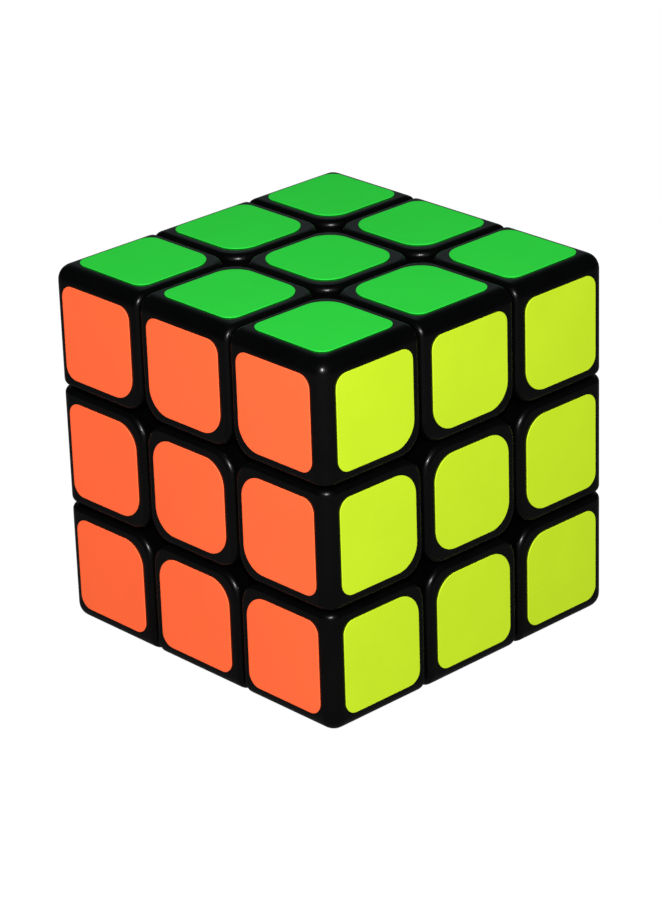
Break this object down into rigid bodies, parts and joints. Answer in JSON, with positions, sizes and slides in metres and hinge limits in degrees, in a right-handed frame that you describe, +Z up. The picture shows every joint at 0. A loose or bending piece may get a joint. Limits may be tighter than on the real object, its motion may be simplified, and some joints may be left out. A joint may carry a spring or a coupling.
{
  "type": "twisty puzzle cube",
  "caption": "Twisty puzzle cube of black hollow plastic pieces with thin coloured stickers, whose six faces turn about a sprung core.",
  "frame": {"origin": "middle of the bottom face, on the surface that the cube stands on", "axes": "+Z up to the green face, -Y to the orange face (front), +X to the yellow face (right)"},
  "size_m": [0.057, 0.057, 0.057],
  "materials": {
    "black_plastic": "polished black moulded plastic",
    "core_plastic": "plain moulded plastic",
    "screw_steel": "zinc plated steel",
    "sticker_green": "satin vinyl",
    "sticker_orange": "satin vinyl",
    "sticker_yellow": "satin vinyl",
    "sticker_blue": "satin vinyl",
    "sticker_red": "satin vinyl",
    "sticker_white": "satin vinyl"
  },
  "bodies": {
    "core": {"core": "core_plastic", "tension_screws_and_springs": "screw_steel"},
    "top_centre": {"top_centre_hub": "black_plastic", "top_centre_cap": "black_plastic", "top_centre_sticker": "sticker_green"},
    "bottom_centre": {"bottom_centre_hub": "black_plastic", "bottom_centre_cap": "black_plastic", "bottom_centre_sticker": "sticker_blue"},
    "front_centre": {"front_centre_hub": "black_plastic", "front_centre_cap": "black_plastic", "front_centre_sticker": "sticker_orange"},
    "back_centre": {"back_centre_hub": "black_plastic", "back_centre_cap": "black_plastic", "back_centre_sticker": "sticker_red"},
    "right_centre": {"right_centre_hub": "black_plastic", "right_centre_cap": "black_plastic", "right_centre_sticker": "sticker_yellow"},
    "left_centre": {"left_centre_hub": "black_plastic", "left_centre_cap": "black_plastic", "left_centre_sticker": "sticker_white"},
    "back_right": {"back_right_edge": "black_plastic", "back_right_edge_stickers": "sticker_red"},
    "top_right": {"top_right_edge": "black_plastic", "top_right_edge_stickers": "sticker_green"},
    "bottom_right": {"bottom_right_edge": "black_plastic", "bottom_right_edge_stickers": "sticker_blue"},
    "front_right": {"front_right_edge": "black_plastic", "front_right_edge_stickers": "sticker_orange"},
    "top_back": {"top_back_edge": "black_plastic", "top_back_edge_stickers": "sticker_green"},
    "bottom_back": {"bottom_back_edge": "black_plastic", "bottom_back_edge_stickers": "sticker_blue"},
    "top_front": {"top_front_edge": "black_plastic", "top_front_edge_stickers": "sticker_green"},
    "bottom_front": {"bottom_front_edge": "black_plastic", "bottom_front_edge_stickers": "sticker_blue"},
    "back_left": {"back_left_edge": "black_plastic", "back_left_edge_stickers": "sticker_red"},
    "top_left": {"top_left_edge": "black_plastic", "top_left_edge_stickers": "sticker_green"},
    "bottom_left": {"bottom_left_edge": "black_plastic", "bottom_left_edge_stickers": "sticker_blue"},
    "front_left": {"front_left_edge": "black_plastic", "front_left_edge_stickers": "sticker_orange"},
    "top_back_right": {"top_back_right_corner": "black_plastic", "top_back_right_corner_stickers": "sticker_green"},
    "bottom_back_right": {"bottom_back_right_corner": "black_plastic", "bottom_back_right_corner_stickers": "sticker_blue"},
    "top_front_right": {"top_front_right_corner": "black_plastic", "top_front_right_corner_stickers": "sticker_green"},
    "bottom_front_right": {"bottom_front_right_corner": "black_plastic", "bottom_front_right_corner_stickers": "sticker_blue"},
    "top_back_left": {"top_back_left_corner": "black_plastic", "top_back_left_corner_stickers": "sticker_green"},
    "bottom_back_left": {"bottom_back_left_corner": "black_plastic", "bottom_back_left_corner_stickers": "sticker_blue"},
    "top_front_left": {"top_front_left_corner": "black_plastic", "top_front_left_corner_stickers": "sticker_green"},
    "bottom_front_left": {"bottom_front_left_corner": "black_plastic", "bottom_front_left_corner_stickers": "sticker_blue"}
  },
  "joints": [
    {"name": "top_turn", "type": "hinge", "parent": "core", "child": "top_centre", "pos_m": [0, 0, 0.0285], "axis": [0, 0, 1], "continuous": true},
    {"name": "bottom_turn", "type": "hinge", "parent": "core", "child": "bottom_centre", "pos_m": [0, 0, 0.0285], "axis": [0, 0, 1], "continuous": true},
    {"name": "front_turn", "type": "hinge", "parent": "core", "child": "front_centre", "pos_m": [0, 0, 0.0285], "axis": [0, 1, 0], "continuous": true},
    {"name": "back_turn", "type": "hinge", "parent": "core", "child": "back_centre", "pos_m": [0, 0, 0.0285], "axis": [0, 1, 0], "continuous": true},
    {"name": "right_turn", "type": "hinge", "parent": "core", "child": "right_centre", "pos_m": [0, 0, 0.0285], "axis": [1, 0, 0], "continuous": true},
    {"name": "left_turn", "type": "hinge", "parent": "core", "child": "left_centre", "pos_m": [0, 0, 0.0285], "axis": [1, 0, 0], "continuous": true},
    {"name": "back_right_follows_right", "type": "hinge", "parent": "back_centre", "child": "back_right", "pos_m": [0, 0, 0.0285], "axis": [1, 0, 0], "continuous": true},
    {"name": "top_right_follows_top", "type": "hinge", "parent": "right_centre", "child": "top_right", "pos_m": [0, 0, 0.0285], "axis": [0, 0, 1], "continuous": true},
    {"name": "bottom_right_follows_bottom", "type": "hinge", "parent": "right_centre", "child": "bottom_right", "pos_m": [0, 0, 0.0285], "axis": [0, 0, 1], "continuous": true},
    {"name": "front_right_follows_right", "type": "hinge", "parent": "front_centre", "child": "front_right", "pos_m": [0, 0, 0.0285], "axis": [1, 0, 0], "continuous": true},
    {"name": "top_back_follows_back", "type": "hinge", "parent": "top_centre", "child": "top_back", "pos_m": [0, 0, 0.0285], "axis": [0, 1, 0], "continuous": true},
    {"name": "bottom_back_follows_back", "type": "hinge", "parent": "bottom_centre", "child": "bottom_back", "pos_m": [0, 0, 0.0285], "axis": [0, 1, 0], "continuous": true},
    {"name": "top_front_follows_front", "type": "hinge", "parent": "top_centre", "child": "top_front", "pos_m": [0, 0, 0.0285], "axis": [0, 1, 0], "continuous": true},
    {"name": "bottom_front_follows_front", "type": "hinge", "parent": "bottom_centre", "child": "bottom_front", "pos_m": [0, 0, 0.0285], "axis": [0, 1, 0], "continuous": true},
    {"name": "back_left_follows_left", "type": "hinge", "parent": "back_centre", "child": "back_left", "pos_m": [0, 0, 0.0285], "axis": [1, 0, 0], "continuous": true},
    {"name": "top_left_follows_top", "type": "hinge", "parent": "left_centre", "child": "top_left", "pos_m": [0, 0, 0.0285], "axis": [0, 0, 1], "continuous": true},
    {"name": "bottom_left_follows_bottom", "type": "hinge", "parent": "left_centre", "child": "bottom_left", "pos_m": [0, 0, 0.0285], "axis": [0, 0, 1], "continuous": true},
    {"name": "front_left_follows_left", "type": "hinge", "parent": "front_centre", "child": "front_left", "pos_m": [0, 0, 0.0285], "axis": [1, 0, 0], "continuous": true},
    {"name": "top_back_right_follows_back", "type": "hinge", "parent": "top_right", "child": "top_back_right", "pos_m": [0, 0, 0.0285], "axis": [0, 1, 0], "continuous": true},
    {"name": "bottom_back_right_follows_back", "type": "hinge", "parent": "bottom_right", "child": "bottom_back_right", "pos_m": [0, 0, 0.0285], "axis": [0, 1, 0], "continuous": true},
    {"name": "top_front_right_follows_front", "type": "hinge", "parent": "top_right", "child": "top_front_right", "pos_m": [0, 0, 0.0285], "axis": [0, 1, 0], "continuous": true},
    {"name": "bottom_front_right_follows_front", "type": "hinge", "parent": "bottom_right", "child": "bottom_front_right", "pos_m": [0, 0, 0.0285], "axis": [0, 1, 0], "continuous": true},
    {"name": "top_back_left_follows_back", "type": "hinge", "parent": "top_left", "child": "top_back_left", "pos_m": [0, 0, 0.0285], "axis": [0, 1, 0], "continuous": true},
    {"name": "bottom_back_left_follows_back", "type": "hinge", "parent": "bottom_left", "child": "bottom_back_left", "pos_m": [0, 0, 0.0285], "axis": [0, 1, 0], "continuous": true},
    {"name": "top_front_left_follows_front", "type": "hinge", "parent": "top_left", "child": "top_front_left", "pos_m": [0, 0, 0.0285], "axis": [0, 1, 0], "continuous": true},
    {"name": "bottom_front_left_follows_front", "type": "hinge", "parent": "bottom_left", "child": "bottom_front_left", "pos_m": [0, 0, 0.0285], "axis": [0, 1, 0], "continuous": true}
  ],
  "couplings": [
    {"joint": "back_right_follows_right", "follows": "right_turn", "ratio": 1},
    {"joint": "top_right_follows_top", "follows": "top_turn", "ratio": 1},
    {"joint": "bottom_right_follows_bottom", "follows": "bottom_turn", "ratio": 1},
    {"joint": "front_right_follows_right", "follows": "right_turn", "ratio": 1},
    {"joint": "top_back_follows_back", "follows": "back_turn", "ratio": 1},
    {"joint": "bottom_back_follows_back", "follows": "back_turn", "ratio": 1},
    {"joint": "top_front_follows_front", "follows": "front_turn", "ratio": 1},
    {"joint": "bottom_front_follows_front", "follows": "front_turn", "ratio": 1},
    {"joint": "back_left_follows_left", "follows": "left_turn", "ratio": 1},
    {"joint": "top_left_follows_top", "follows": "top_turn", "ratio": 1},
    {"joint": "bottom_left_follows_bottom", "follows": "bottom_turn", "ratio": 1},
    {"joint": "front_left_follows_left", "follows": "left_turn", "ratio": 1},
    {"joint": "top_back_right_follows_back", "follows": "back_turn", "ratio": 1},
    {"joint": "bottom_back_right_follows_back", "follows": "back_turn", "ratio": 1},
    {"joint": "top_front_right_follows_front", "follows": "front_turn", "ratio": 1},
    {"joint": "bottom_front_right_follows_front", "follows": "front_turn", "ratio": 1},
    {"joint": "top_back_left_follows_back", "follows": "back_turn", "ratio": 1},
    {"joint": "bottom_back_left_follows_back", "follows": "back_turn", "ratio": 1},
    {"joint": "top_front_left_follows_front", "follows": "front_turn", "ratio": 1},
    {"joint": "bottom_front_left_follows_front", "follows": "front_turn", "ratio": 1}
  ]
}
